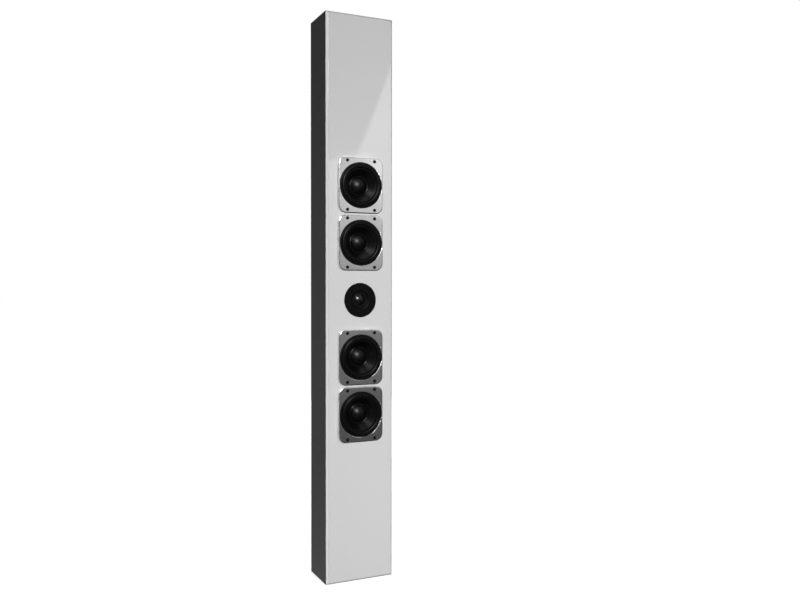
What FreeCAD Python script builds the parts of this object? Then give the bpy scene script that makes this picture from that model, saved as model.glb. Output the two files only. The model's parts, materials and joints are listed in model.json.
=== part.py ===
import FreeCAD, Part
import math
import os
from types import SimpleNamespace

import Sketcher
from FreeCAD import Placement, Rotation, Vector

# A slim floorstanding loudspeaker: four woofers and a tweeter in one column, in a sealed cabinet.
# Millimetres, +Z up, front towards -Y, origin at the centre of the cabinet's base.
#
# Every part of a driver is drawn lying face up: its own Z is 0 at the front panel's face and points
# out of the cabinet. upright_front and upright_back then stand it up on the front or the back.

DRIVER_SLOTS = {1: 2, 2: 1, 3: -1, 4: -2}   # woofer number: its place above the tweeter, in pitches
POST_SIDES = {"red": 1, "black": -1}        # binding post: the side of the terminal cup it is on
CORNERS = ((1, 1), (-1, 1), (-1, -1), (1, -1))

DIMENSIONS = {
    # cabinet
    "height": 1220, "width": 156, "depth": 96, "wall": 12, "face_panel": 6, "edge_bevel": 4.4,
    "edge_ease": 0.6, "rear_round": 1.5, "tweeter_level": 607.9, "driver_pitch": 123.2,
    "brace_rim": 16, "brace_edge": 14, "brace_round": 8, "wadding_gap": 2, "wadding_height": 150,
    # woofer frame, gasket and screws
    "frame_width": 104, "frame_height": 120.8, "frame_corner": 17, "frame_bevel": 2.6,
    "rim_bevel": 0.5, "gasket": 0.8, "gasket_inset": 1, "flange": 4.1,
    "cutout_radius": 47.6, "barrel_radius": 46.8, "barrel_depth": 6, "basket_wall": 2.4,
    "basket_neck": 35.4, "basket_shoulder": 2, "basket_depth": 34, "basket_ring_bore": 17,
    "basket_ring": 2.5,
    "seat_radius": 49.3, "seat_depth": 1.4, "window_width": 22, "window_margin": 2,
    "screw_spacing_x": 63.4, "screw_spacing_y": 104.9, "screw_radius": 2, "screw_clearance": 0.2,
    "screw_head": 3.5, "screw_head_height": 2, "screw_reach": 17, "hex_size": 1.6, "hex_depth": 1.2,
    # woofer moving parts
    "surround_radius": 49.1, "surround_inner": 34.6, "surround_skin": 0.7,
    "roll_centre": 41.1, "roll_outer": 3.7, "roll_inner": 3,
    "cone_radius": 36.9, "cone_bend": 34.4, "cone_depth": 18.4, "cone_skin": 1.2,
    "former_radius": 12.6, "former_skin": 0.3, "former_top": 14.2, "former_bottom": 43,
    "winding_radius": 13.1, "winding_top": 30.5, "winding_bottom": 42.5,
    "cap_radius": 20.5, "cap_rise": 10.5, "cap_skin": 0.8,
    "spider_level": 22, "spider_skin": 0.6, "spider_radius": 33.9, "spider_ledge": 29.5,
    "spider_gap": 0.4, "spider_start": 15, "spider_wave": 2.5, "spider_wave_radius": 1.6,
    "spider_ledge_skin": 1.8,
    # woofer motor
    "plate": 5, "plate_radius": 30, "gap_outer": 13.5, "pole_radius": 11.9, "pole_drop": 0.6,
    "magnet": 12, "magnet_radius": 32.5, "magnet_bore": 16,
    "tab_length": 9.6, "tab_root": 1, "tab_width": 4.8, "tab_skin": 0.8, "tab_level": 29,
    "tab_pitch": 12,
    # tweeter
    "face_radius": 37, "face_sink": 2.7, "face_rise": 1.3, "face_gap": 0.3, "face_round": 1.2,
    "throat_radius": 22, "throat_floor": 19.2, "throat_lip": 2, "throat_level": 1.5, "motor_hole": 25.6,
    "face_screw_spacing": 42.5, "face_screw": 1.5, "face_screw_gap": 0.1,
    "face_screw_head": 2.6, "face_screw_reach": 15,
    "dome_radius": 12.9, "dome_rise": 4.5, "dome_skin": 0.4, "dome_gap": 0.1, "dome_roll_outer": 1.6,
    "dome_roll_inner": 1.2, "dome_seat": 19, "spacer_radius": 25, "spacer": 0.6,
    "dome_coil_length": 5.6, "dome_gap_outer": 13.4, "dome_pole": 12, "dome_plate": 4,
    "dome_magnet": 8, "dome_magnet_radius": 24, "dome_magnet_bore": 15.5,
    # terminal cup and binding posts on the back
    "cup_level": 130, "cup_width": 68, "cup_height": 48, "cup_depth": 22, "cup_skin": 2.5,
    "cup_flange_width": 94, "cup_flange_height": 74, "cup_corner": 5, "cup_gap": 0.5,
    "cup_screw_x": 80, "cup_screw_y": 60, "cup_screw": 1.5, "cup_screw_head": 2.8,
    "cup_screw_head_height": 1.6, "cup_screw_reach": 11, "post_pitch": 19, "post_radius": 3.5,
    "post_collar": 5,
    "post_collar_height": 2, "post_top": 4, "post_bore": 2, "post_bore_depth": 14,
    "post_shank": 3, "post_tail": 12, "post_running_gap": 0.05, "washer": 1, "washer_radius": 6,
    "cap_length": 10, "cap_outer": 6, "cap_chamfer": 1, "cap_collar": 2, "cap_groove": 0.7,
    "nut_size": 5.5, "nut_height": 5,
    # crossover and leads
    "board_width": 110, "board_height": 90, "board": 1.6, "coil_radius": 15, "coil_height": 14,
    "coil_bore": 6, "coil_x": 34, "coil_y": 22, "can_radius": 7, "can_length": 30, "can_x": 34,
    "can_y": 24, "lead_radius": 1.4, "lead_pitch": 3.2, "lead_first": -43, "lead_depth": 19.2,
    "lead_start": 165, "lead_rise": 40,
    # threaded inserts in the base
    "insert_x": 112, "insert_y": 64, "insert_radius": 4, "insert_bore": 2.5, "insert_length": 11,
}
CAP_GROOVES = 12
WINDOWS = 6
SPIDER_WAVES = 6
HEX_SIDES = 6
BRACE_SLOTS = (-2.6, -1.5, 1.5, 3.4)        # brace heights from mid-height, in driver pitches
HEAD_RIM = 0.35                             # straight part of a screw head, as a share of its height
HEAD_DOME = 1.9                             # radius of a screw head's domed top, in head radii
SMALL_SOCKET = 0.8                          # hexagon of a small screw, in shank radii
LEAD_BEND = 0.45                            # how much of its shorter run a lead's bend takes up
SAME_PLACE = 1e-4


class Size:
    """A length that knows its value now and the sheet expression that drives it."""

    def __init__(self, value, text):
        self.value = value
        self.text = text

    def __add__(self, other):
        other = as_size(other)
        return Size(self.value + other.value, f"({self.text} + {other.text})")

    def __sub__(self, other):
        other = as_size(other)
        return Size(self.value - other.value, f"({self.text} - {other.text})")

    def __mul__(self, other):
        other = as_size(other)
        return Size(self.value * other.value, f"({self.text} * {other.text})")

    def __truediv__(self, other):
        other = as_size(other)
        return Size(self.value / other.value, f"({self.text} / {other.text})")

    def __neg__(self):
        return self * -1

    def __radd__(self, other):
        return as_size(other) + self

    def __rmul__(self, other):
        return self * other


def as_size(number):
    """A plain number as a Size."""
    return number if isinstance(number, Size) else Size(float(number), f"({float(number):.9f})")


def fill_sheet(document):
    """Write the driving dimensions to the spreadsheet and return them as Sizes."""
    sheet = document.addObject("Spreadsheet::Sheet", "sizes")
    for row, (alias, number) in enumerate(DIMENSIONS.items(), start=1):
        sheet.set(f"A{row}", alias)
        sheet.set(f"B{row}", str(number))
        sheet.setAlias(f"B{row}", alias)
    document.recompute()
    return SimpleNamespace(**{alias: Size(float(number), f"sizes.{alias}")
                              for alias, number in DIMENSIONS.items()})


doc = FreeCAD.newDocument("floorstanding_speaker")
d = fill_sheet(doc)
nodes = []


# ---------------------------------------------------------------- sketches and features

def bind(thing, path, size):
    """Drive one property of an object from the sheet."""
    thing.setExpression(path, as_size(size).text)


def new_body(label):
    """An empty PartDesign body."""
    body = doc.addObject("PartDesign::Body", label)
    body.Label = label
    return body


def new_sketch(body, name, plane="XY_Plane", level=None):
    """A sketch on one of the body's own origin planes, lifted to a level along its normal."""
    sketch = body.newObject("Sketcher::SketchObject", f"{body.Label}_{name}")
    support = next(item for item in body.Origin.OriginFeatures if item.Role == plane)
    sketch.AttachmentSupport = [(support, "")]
    sketch.MapMode = "FlatFace"
    if level is not None:
        bind(sketch, "AttachmentOffset.Base.z", level)
    return sketch


def constrain(sketch, kind, *where, size):
    """Add one dimension to a sketch, driven from the sheet."""
    size = as_size(size)
    index = sketch.addConstraint(Sketcher.Constraint(kind, *where, size.value))
    bind(sketch, f"Constraints[{index}]", size)


def pin_point(sketch, edge, vertex, x, y):
    """Hold a sketch point at a place measured from the sketch's origin."""
    constrain(sketch, "DistanceX", -1, 1, edge, vertex, size=x)
    constrain(sketch, "DistanceY", -1, 1, edge, vertex, size=y)


def arc_between(start, finish, radius):
    """The shorter arc between two points: counter-clockwise if radius > 0, else clockwise."""
    chord = finish - start
    left = Vector(-chord.y, chord.x, 0).normalize()
    reach = math.sqrt(max(radius ** 2 - (chord.Length / 2) ** 2, 0))
    centre = (start + finish) * 0.5 + left * math.copysign(reach, radius)
    first, last = (start, finish) if radius > 0 else (finish, start)
    begin = math.atan2(first.y - centre.y, first.x - centre.x)
    end = math.atan2(last.y - centre.y, last.x - centre.x)
    circle = Part.Circle(centre, Vector(0, 0, 1), abs(radius))
    return Part.ArcOfCircle(circle, begin, end if end > begin else end + 2 * math.pi)


def draw_loop(sketch, corners):
    """A closed outline. A corner (x, y) starts a straight edge; (x, y, radius) starts an arc."""
    corners = [tuple(as_size(value) for value in corner) for corner in corners]
    points = [Vector(corner[0].value, corner[1].value, 0) for corner in corners]
    ends = []
    for index, corner in enumerate(corners):
        start = points[index]
        finish = points[(index + 1) % len(points)]
        if len(corner) == 2:
            edge = sketch.addGeometry(Part.LineSegment(start, finish), False)
            ends.append((edge, 1, 2))
            continue
        bend = corner[2]
        edge = sketch.addGeometry(arc_between(start, finish, bend.value), False)
        ends.append((edge, 1, 2) if bend.value > 0 else (edge, 2, 1))
    for index, (edge, first, last) in enumerate(ends):
        following = ends[(index + 1) % len(ends)]
        sketch.addConstraint(Sketcher.Constraint("Coincident", edge, last, following[0], following[1]))
    for (edge, first, last), corner in zip(ends, corners):
        pin_point(sketch, edge, first, corner[0], corner[1])
        if len(corner) == 3:
            constrain(sketch, "Radius", edge, size=corner[2] if corner[2].value > 0 else -corner[2])


def draw_circle(sketch, radius, x=0, y=0):
    """A circle held at a place."""
    x = as_size(x)
    y = as_size(y)
    radius = as_size(radius)
    centre = Vector(x.value, y.value, 0)
    edge = sketch.addGeometry(Part.Circle(centre, Vector(0, 0, 1), radius.value), False)
    pin_point(sketch, edge, 3, x, y)
    constrain(sketch, "Radius", edge, size=radius)


def draw_rectangle(sketch, width, height, corner=None, x=0, y=0):
    """A rectangle centred at a place, with rounded corners if a corner radius is given."""
    x = as_size(x)
    y = as_size(y)
    half_x = as_size(width) / 2
    half_y = as_size(height) / 2
    if corner is None:
        draw_loop(sketch, [(x + half_x * side, y + half_y * up) for side, up in CORNERS])
        return
    loop = []
    for side, up in CORNERS:
        beside = (x + half_x * side, y + (half_y - corner) * up)
        above = (x + (half_x - corner) * side, y + half_y * up)
        first, second = (beside, above) if side * up > 0 else (above, beside)
        loop += [(first[0], first[1], corner), second]
    draw_loop(sketch, loop)


def draw_hexagon(sketch, size, x=0, y=0):
    """A hexagon with a corner radius, centred at a place."""
    turns = [2 * math.pi * side / HEX_SIDES for side in range(HEX_SIDES)]
    draw_loop(sketch, [(x + size * math.cos(turn), y + size * math.sin(turn)) for turn in turns])


def pad(body, sketch, length):
    """Raise a sketch into a solid along its normal."""
    feature = body.newObject("PartDesign::Pad", f"{sketch.Name}_pad")
    feature.Profile = sketch
    bind(feature, "Length", length)
    return feature


def pocket(body, sketch, depth=None):
    """Cut a sketch into the solid, against its normal. With no depth the cut goes right through."""
    feature = body.newObject("PartDesign::Pocket", f"{sketch.Name}_cut")
    feature.Profile = sketch
    if depth is None:
        feature.Type = "ThroughAll"
    else:
        bind(feature, "Length", depth)
    return feature


def turn(body, name, corners):
    """Turn a (radius, level) outline about the body's Z axis."""
    sketch = new_sketch(body, name, "XZ_Plane")
    draw_loop(sketch, corners)
    feature = body.newObject("PartDesign::Revolution", f"{sketch.Name}_turn")
    feature.Profile = sketch
    feature.ReferenceAxis = (sketch, ["V_Axis"])
    feature.Angle = 360
    return feature


def repeat_round(body, feature, count):
    """Repeat a feature evenly about the body's Z axis."""
    doc.recompute()
    pattern = body.newObject("PartDesign::PolarPattern", f"{feature.Name}_round")
    pattern.Originals = [feature]
    axis = next(item for item in body.Origin.OriginFeatures if item.Role == "Z_Axis")
    pattern.Axis = (axis, [""])
    pattern.Angle = 360
    pattern.Occurrences = count
    body.Tip = pattern


def round_edges(body, feature, radius, wanted):
    """Fillet the edges of a feature that pass the test."""
    doc.recompute()
    names = [f"Edge{number}" for number, edge in enumerate(feature.Shape.Edges, start=1) if wanted(edge)]
    fillet = body.newObject("PartDesign::Fillet", f"{feature.Name}_round")
    fillet.Base = (feature, names)
    bind(fillet, "Radius", radius)


def bevel_edges(body, feature, size, wanted):
    """Cut the edges of a feature that pass the test off at 45 degrees, and return the bevel."""
    doc.recompute()
    names = [f"Edge{number}" for number, edge in enumerate(feature.Shape.Edges, start=1) if wanted(edge)]
    bevel = body.newObject("PartDesign::Chamfer", f"{feature.Name}_bevel")
    bevel.Base = (feature, names)
    bind(bevel, "Size", size)
    return bevel


def at_level(level):
    """A test for edges that lie flat at one level."""
    return lambda edge: all(abs(point.Z - level.value) < SAME_PLACE for point in edge.Vertexes)


def ring_at(level, radius):
    """A test for the round edge of one radius at one level."""
    return lambda edge: (at_level(level)(edge) and isinstance(edge.Curve, Part.Circle)
                         and abs(edge.Curve.Radius - radius.value) < SAME_PLACE)


def place(thing, x, y, z, rotation=Rotation()):
    """Put an object where it belongs in the speaker, driven from the sheet."""
    thing.Placement = Placement(Vector(0, 0, 0), rotation)
    bind(thing, "Placement.Base.x", x)
    bind(thing, "Placement.Base.y", y)
    bind(thing, "Placement.Base.z", z)
    return thing


def upright_front(thing, up=0, x=0):
    """Stand a face-up part on the cabinet's front, a distance above the tweeter's axis."""
    return place(thing, x, -d.depth / 2, d.tweeter_level + up, Rotation(Vector(1, 0, 0), 90))


def upright_back(thing, x=0):
    """Stand a face-up part on the cabinet's back, at the terminal cup."""
    return place(thing, x, d.depth / 2, d.cup_level, Rotation(Vector(1, 0, 0), -90))


def copy_of(source, label):
    """A linked copy of a template part, with a placement of its own."""
    link = doc.addObject("App::Link", label)
    link.LinkedObject = source
    link.LinkTransform = False
    return link


def keep(thing):
    """Hand in an object as a node."""
    nodes.append(thing)
    return thing


def keep_group(label, members):
    """Hand in several separate solids as one node."""
    group = doc.addObject("Part::Compound", label)
    group.Label = label
    group.Links = members
    return keep(group)


def box_body(label, width, depth, height):
    """A board centred on its own Z axis, standing on its own XY plane."""
    body = new_body(label)
    sketch = new_sketch(body, "outline")
    draw_rectangle(sketch, width, depth)
    return body, pad(body, sketch, height)


def ring_body(label, inner, outer, bottom, top):
    """A plain ring about its own Z axis."""
    body = new_body(label)
    turn(body, "section", [(inner, bottom), (outer, bottom), (outer, top), (inner, top)])
    return body


def screw_body(label, head_top, head_radius, head_height, shank_radius, reach, drive=None):
    """A domed screw with a hexagonal socket. reach is the depth of its tip."""
    body = new_body(label)
    seat = head_top - head_height
    rim = seat + head_height * HEAD_RIM
    bulge = head_radius * HEAD_DOME
    turn(body, "section", [
        (0, head_top), (0, -reach), (shank_radius, -reach + shank_radius), (shank_radius, seat),
        (head_radius, seat), (head_radius, rim, bulge)])
    socket = new_sketch(body, "socket", level=head_top)
    draw_hexagon(socket, drive if drive is not None else d.hex_size)
    pocket(body, socket, d.hex_depth)
    return body


# ---------------------------------------------------------------- woofers

def woofer_heights():
    """Each woofer's number and its height above the tweeter."""
    return [(number, d.driver_pitch * slot) for number, slot in DRIVER_SLOTS.items()]


def screw_places(spacing_x, spacing_y, y=0):
    """The four corners of a screw rectangle."""
    return [(spacing_x / 2 * side, spacing_y / 2 * up + y) for side, up in CORNERS]


FLANGE_TOP = d.gasket + d.flange
SEAT = FLANGE_TOP - d.seat_depth
CONE_SLOPE = d.cone_depth / (d.cone_bend - d.former_radius)


def woofer_frame(number, up):
    """Die-cast frame: rounded flange, surround seat, windowed basket and the ring behind it."""
    body = new_body(f"woofer_{number}_frame")
    outline = new_sketch(body, "flange", level=d.gasket)
    draw_rectangle(outline, d.frame_width, d.frame_height, d.frame_corner)
    flange = pad(body, outline, d.flange)
    round_edges(body, flange, d.frame_bevel, at_level(FLANGE_TOP))
    seat = new_sketch(body, "seat", level=FLANGE_TOP)
    draw_circle(seat, d.seat_radius)
    cut = pocket(body, seat, d.seat_depth)
    round_edges(body, cut, d.rim_bevel, ring_at(FLANGE_TOP, d.seat_radius))
    mouth = new_sketch(body, "mouth", level=SEAT)
    draw_circle(mouth, d.barrel_radius - d.basket_wall)
    pocket(body, mouth, SEAT - d.gasket)
    holes = new_sketch(body, "screw_holes", level=FLANGE_TOP)
    for x, y in screw_places(d.screw_spacing_x, d.screw_spacing_y):
        draw_circle(holes, d.screw_radius + d.screw_clearance, x, y)
    pocket(body, holes, d.flange)
    inner = d.barrel_radius - d.basket_wall
    throat = d.basket_neck - d.basket_wall
    turn(body, "basket", [
        (inner, SEAT), (inner, -d.barrel_depth),
        (d.spider_radius + d.spider_gap, -d.spider_level), (d.spider_ledge, -d.spider_level),
        (d.spider_ledge, -(d.spider_level + d.spider_ledge_skin)),
        (throat, -(d.spider_level + d.spider_ledge_skin)), (throat, d.basket_ring - d.basket_depth),
        (d.basket_ring_bore, d.basket_ring - d.basket_depth), (d.basket_ring_bore, -d.basket_depth),
        (d.basket_neck, -d.basket_depth), (d.basket_neck, -(d.spider_level + d.basket_shoulder)),
        (d.barrel_radius, -d.barrel_depth), (d.barrel_radius, SEAT)])
    window = new_sketch(body, "window", "XZ_Plane")
    top = -(d.barrel_depth + d.window_margin)
    bottom = -(d.spider_level - d.window_margin)
    half = d.window_width / 2
    draw_loop(window, [(-half, bottom), (half, bottom), (half, top), (-half, top)])
    repeat_round(body, pocket(body, window), WINDOWS)
    return keep(upright_front(body, up))


def woofer_surround(number, up):
    """Rubber half-roll from the frame's seat to the cone's rim."""
    body = new_body(f"woofer_{number}_surround")
    top = SEAT + d.surround_skin
    turn(body, "section", [
        (d.surround_radius, SEAT), (d.surround_radius, top),
        (d.roll_centre + d.roll_outer, top, d.roll_outer), (d.roll_centre, top + d.roll_outer, d.roll_outer),
        (d.roll_centre - d.roll_outer, top), (d.surround_inner, top), (d.surround_inner, SEAT),
        (d.roll_centre - d.roll_inner, SEAT, -d.roll_inner),
        (d.roll_centre, SEAT + d.roll_inner, -d.roll_inner), (d.roll_centre + d.roll_inner, SEAT)])
    return keep(upright_front(body, up))


def cone_level(radius):
    """Level of the cone's front face at a radius."""
    return SEAT - (d.cone_bend - radius) * CONE_SLOPE


def woofer_cone(number, up):
    """Straight-sided cone with a flat rim under the surround."""
    body = new_body(f"woofer_{number}_cone")
    neck = cone_level(d.former_radius)
    turn(body, "section", [
        (d.cone_radius, SEAT), (d.cone_bend, SEAT), (d.former_radius, neck),
        (d.former_radius, neck - d.cone_skin), (d.cone_bend, SEAT - d.cone_skin),
        (d.cone_radius, SEAT - d.cone_skin)])
    return keep(upright_front(body, up))


def sphere_radius(reach, rise):
    """Radius of a spherical cap of a given base radius and rise."""
    return (reach * reach + rise * rise) / (rise * 2)


def woofer_dust_cap(number, up):
    """Domed cap glued over the cone's neck."""
    body = new_body(f"woofer_{number}_dust_cap")
    inner = d.cap_radius - d.cap_skin
    top = cone_level(d.cap_radius) + d.cap_rise
    inner_rise = top - d.cap_skin - cone_level(inner)
    turn(body, "section", [
        (0, top), (0, top - d.cap_skin, -sphere_radius(inner, inner_rise)), (inner, cone_level(inner)),
        (d.cap_radius, cone_level(d.cap_radius), sphere_radius(d.cap_radius, d.cap_rise))])
    return keep(upright_front(body, up))


def woofer_voice_coil(number, up):
    """Thin former with its winding in the magnet's gap."""
    body = new_body(f"woofer_{number}_voice_coil")
    inner = d.former_radius - d.former_skin
    turn(body, "section", [
        (inner, -d.former_bottom), (inner, -d.former_top), (d.former_radius, -d.former_top),
        (d.former_radius, -d.winding_top), (d.winding_radius, -d.winding_top),
        (d.winding_radius, -d.winding_bottom), (d.former_radius, -d.winding_bottom),
        (d.former_radius, -d.former_bottom)])
    return keep(upright_front(body, up))


def woofer_spider(number, up):
    """Pleated cloth disc that centres the voice coil."""
    body = new_body(f"woofer_{number}_spider")
    bottom = -d.spider_level
    top = bottom + d.spider_skin
    bends = [d.spider_wave_radius * (1 if wave % 2 == 0 else -1) for wave in range(SPIDER_WAVES)]
    outward = [(d.spider_start + d.spider_wave * wave, top, bend) for wave, bend in enumerate(bends)]
    inward = [(d.spider_start + d.spider_wave * (wave + 1), bottom, -bend)
              for wave, bend in enumerate(bends)]
    last = d.spider_start + d.spider_wave * SPIDER_WAVES
    turn(body, "section", [
        (d.former_radius, top), *outward, (last, top), (d.spider_radius, top),
        (d.spider_radius, bottom), *reversed(inward), (d.spider_start, bottom), (d.former_radius, bottom)])
    return keep(upright_front(body, up))


def woofer_gasket(label):
    """Foam gasket between a woofer's flange and the front panel."""
    body = new_body(label)
    outline = new_sketch(body, "outline")
    draw_rectangle(outline, d.frame_width - d.gasket_inset * 2, d.frame_height - d.gasket_inset * 2,
                   d.frame_corner - d.gasket_inset)
    draw_circle(outline, d.cutout_radius)
    for x, y in screw_places(d.screw_spacing_x, d.screw_spacing_y):
        draw_circle(outline, d.screw_radius + d.screw_clearance, x, y)
    pad(body, outline, d.gasket)
    return body


def woofer_yoke(label):
    """Steel back plate and pole in one piece."""
    body = new_body(label)
    bottom = -(d.basket_depth + d.plate * 2 + d.magnet)
    pole_top = -(d.basket_depth + d.pole_drop)
    turn(body, "section", [
        (0, bottom), (d.plate_radius, bottom), (d.plate_radius, bottom + d.plate),
        (d.pole_radius, bottom + d.plate), (d.pole_radius, pole_top), (0, pole_top)])
    return body


def terminal_tabs(label):
    """The two solder tabs that stand out of a woofer's basket on its left."""
    neck = doc.addObject("Part::Cylinder", f"{label}_neck")
    bind(neck, "Radius", d.basket_neck)
    bind(neck, "Height", d.basket_depth)
    bind(neck, "Placement.Base.z", -d.basket_depth)
    tabs = []
    for side in (-1, 1):
        blank = doc.addObject("Part::Box", f"{label}_blank")
        bind(blank, "Length", d.tab_length)
        bind(blank, "Width", d.tab_width)
        bind(blank, "Height", d.tab_skin)
        bind(blank, "Placement.Base.x", -(d.basket_neck + d.tab_length - d.tab_root))
        bind(blank, "Placement.Base.y", d.tab_pitch / 2 * side - d.tab_width / 2)
        bind(blank, "Placement.Base.z", -d.tab_level)
        tab = doc.addObject("Part::Cut", f"{label}_tab")
        tab.Base = blank
        tab.Tool = neck
        tabs.append(tab)
    pair = doc.addObject("Part::Compound", label)
    pair.Links = tabs
    return pair


def one_per_woofer(label, template):
    """A node with one copy of a template at each woofer."""
    copies = [upright_front(copy_of(template, f"{label}_{number}"), up)
              for number, up in woofer_heights()]
    return keep_group(label, copies)


def build_woofers():
    """All four woofers with their screws."""
    for number, up in woofer_heights():
        for build in (woofer_frame, woofer_surround, woofer_cone, woofer_dust_cap,
                      woofer_voice_coil, woofer_spider):
            build(number, up)
    plate_top = -d.basket_depth
    magnet_top = plate_top - d.plate
    one_per_woofer("woofer_gaskets", woofer_gasket("gasket_template"))
    one_per_woofer("woofer_top_plates", ring_body(
        "top_plate_template", d.gap_outer, d.plate_radius, magnet_top, plate_top))
    one_per_woofer("woofer_magnets", ring_body(
        "magnet_template", d.magnet_bore, d.magnet_radius, magnet_top - d.magnet, magnet_top))
    one_per_woofer("woofer_yokes", woofer_yoke("yoke_template"))
    one_per_woofer("woofer_terminals", terminal_tabs("terminal_template"))
    screw = screw_body("woofer_screw_template", FLANGE_TOP + d.screw_head_height, d.screw_head,
                       d.screw_head_height, d.screw_radius, d.screw_reach)
    screws = [upright_front(copy_of(screw, "woofer_screw"), y, x)
              for _, up in woofer_heights()
              for x, y in screw_places(d.screw_spacing_x, d.screw_spacing_y, up)]
    keep_group("woofer_screws", screws)


# ---------------------------------------------------------------- tweeter

DOME_BASE = -d.face_sink
TWEETER_PLATE_TOP = DOME_BASE - d.spacer
TWEETER_MAGNET_TOP = TWEETER_PLATE_TOP - d.dome_plate
TWEETER_YOKE_TOP = TWEETER_MAGNET_TOP - d.dome_magnet


def tweeter_faceplate():
    """Round faceplate, sunk into the front panel, with a shallow flare round the dome."""
    body = new_body("tweeter_faceplate")
    rim = d.face_rise - d.face_round
    floor = d.throat_floor - d.throat_lip
    turn(body, "section", [
        (d.face_radius, DOME_BASE), (d.face_radius, rim, d.face_round),
        (d.face_radius - d.face_round, d.face_rise), (d.throat_radius, d.face_rise),
        (floor, -d.throat_level), (floor, DOME_BASE), (d.throat_floor, DOME_BASE),
        (d.throat_floor, TWEETER_PLATE_TOP), (d.spacer_radius, TWEETER_PLATE_TOP),
        (d.spacer_radius, DOME_BASE)])
    holes = new_sketch(body, "screw_holes", level=d.face_rise)
    sinks = new_sketch(body, "screw_sinks", level=d.face_rise)
    for x, y in screw_places(d.face_screw_spacing, d.face_screw_spacing):
        draw_circle(holes, d.face_screw + d.face_screw_gap, x, y)
        draw_circle(sinks, d.face_screw_head + d.face_screw_gap, x, y)
    pocket(body, holes)
    pocket(body, sinks, d.face_rise)
    return keep(upright_front(body))


def tweeter_surround():
    """Narrow cloth roll between the dome and the top plate."""
    body = new_body("tweeter_surround")
    middle = d.dome_radius + d.dome_gap + d.dome_roll_outer
    base = TWEETER_PLATE_TOP
    turn(body, "section", [
        (d.dome_seat, base), (d.dome_seat, DOME_BASE),
        (middle + d.dome_roll_outer, DOME_BASE, d.dome_roll_outer),
        (middle, DOME_BASE + d.dome_roll_outer, d.dome_roll_outer),
        (middle - d.dome_roll_outer, DOME_BASE), (middle - d.dome_roll_outer, base),
        (middle - d.dome_roll_inner, base, -d.dome_roll_inner),
        (middle, base + d.dome_roll_inner, -d.dome_roll_inner),
        (middle + d.dome_roll_inner, base)])
    return keep(upright_front(body))


def tweeter_dome():
    """Thin spherical dome."""
    body = new_body("tweeter_dome")
    inner = d.dome_radius - d.dome_skin
    top = DOME_BASE + d.dome_rise
    turn(body, "section", [
        (0, top), (0, top - d.dome_skin, -sphere_radius(inner, d.dome_rise - d.dome_skin)),
        (inner, DOME_BASE), (d.dome_radius, DOME_BASE, sphere_radius(d.dome_radius, d.dome_rise))])
    return keep(upright_front(body))


def tweeter_yoke():
    """Steel cup plate and pole of the tweeter."""
    body = new_body("tweeter_yoke")
    bottom = TWEETER_YOKE_TOP - d.dome_plate
    pole_top = TWEETER_PLATE_TOP - d.pole_drop
    turn(body, "section", [
        (0, bottom), (d.dome_magnet_radius, bottom), (d.dome_magnet_radius, TWEETER_YOKE_TOP),
        (d.dome_pole, TWEETER_YOKE_TOP), (d.dome_pole, pole_top), (0, pole_top)])
    return keep(upright_front(body))


def build_tweeter():
    """The tweeter with its screws."""
    tweeter_faceplate()
    tweeter_surround()
    tweeter_dome()
    keep(upright_front(ring_body("tweeter_voice_coil", d.dome_radius - d.dome_skin, d.dome_radius,
                                 DOME_BASE - d.dome_coil_length, DOME_BASE)))
    keep(upright_front(ring_body("tweeter_top_plate", d.dome_gap_outer, d.spacer_radius,
                                 TWEETER_MAGNET_TOP, TWEETER_PLATE_TOP)))
    keep(upright_front(ring_body("tweeter_magnet", d.dome_magnet_bore, d.dome_magnet_radius,
                                 TWEETER_YOKE_TOP, TWEETER_MAGNET_TOP)))
    tweeter_yoke()
    screw = screw_body("tweeter_screw_template", d.face_rise, d.face_screw_head, d.face_rise,
                       d.face_screw, d.face_screw_reach, d.face_screw * SMALL_SOCKET)
    screws = [upright_front(copy_of(screw, "tweeter_screw"), y, x)
              for x, y in screw_places(d.face_screw_spacing, d.face_screw_spacing)]
    keep_group("tweeter_screws", screws)


# ---------------------------------------------------------------- cabinet

INNER_WIDTH = d.width - d.wall * 2
INNER_HEIGHT = d.height - d.wall * 2
CABINET_DEPTH = d.depth - d.face_panel
CABINET_MIDDLE = d.face_panel / 2
BAFFLE_BACK = d.face_panel + d.wall - d.depth / 2
BACK_FRONT = d.depth / 2 - d.wall
BOARD_RISE = d.height / 2 - d.tweeter_level  # middle of the front boards above the tweeter's axis


def draw_driver_holes(sketch, radius):
    """Woofer openings and their screw holes."""
    for _, up in woofer_heights():
        draw_circle(sketch, radius, 0, up - BOARD_RISE)
        for x, y in screw_places(d.screw_spacing_x, d.screw_spacing_y, up - BOARD_RISE):
            draw_circle(sketch, d.screw_radius, x, y)


def draw_tweeter_holes(sketch):
    """The tweeter's opening and its screw holes."""
    draw_circle(sketch, d.motor_hole, 0, -BOARD_RISE)
    for x, y in screw_places(d.face_screw_spacing, d.face_screw_spacing, -BOARD_RISE):
        draw_circle(sketch, d.face_screw, x, y)


def front_panel():
    """Glossy face panel with bevelled front edges, the driver openings and the tweeter's recess."""
    body = new_body("front_panel")
    outline = new_sketch(body, "outline", level=-d.face_panel)
    draw_rectangle(outline, d.width, d.height)
    slab = pad(body, outline, d.face_panel)
    bevel = bevel_edges(body, slab, d.edge_bevel, at_level(as_size(0)))
    back = -d.face_panel.value
    round_edges(body, bevel, d.edge_ease, lambda edge: all(
        point.Z > back + SAME_PLACE for point in edge.Vertexes))
    holes = new_sketch(body, "driver_holes", level=0)
    draw_driver_holes(holes, d.cutout_radius)
    draw_tweeter_holes(holes)
    pocket(body, holes)
    recess = new_sketch(body, "tweeter_recess", level=0)
    draw_circle(recess, d.face_radius + d.face_gap, 0, -BOARD_RISE)
    pocket(body, recess, d.face_sink)
    return keep(upright_front(body, BOARD_RISE))


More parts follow.
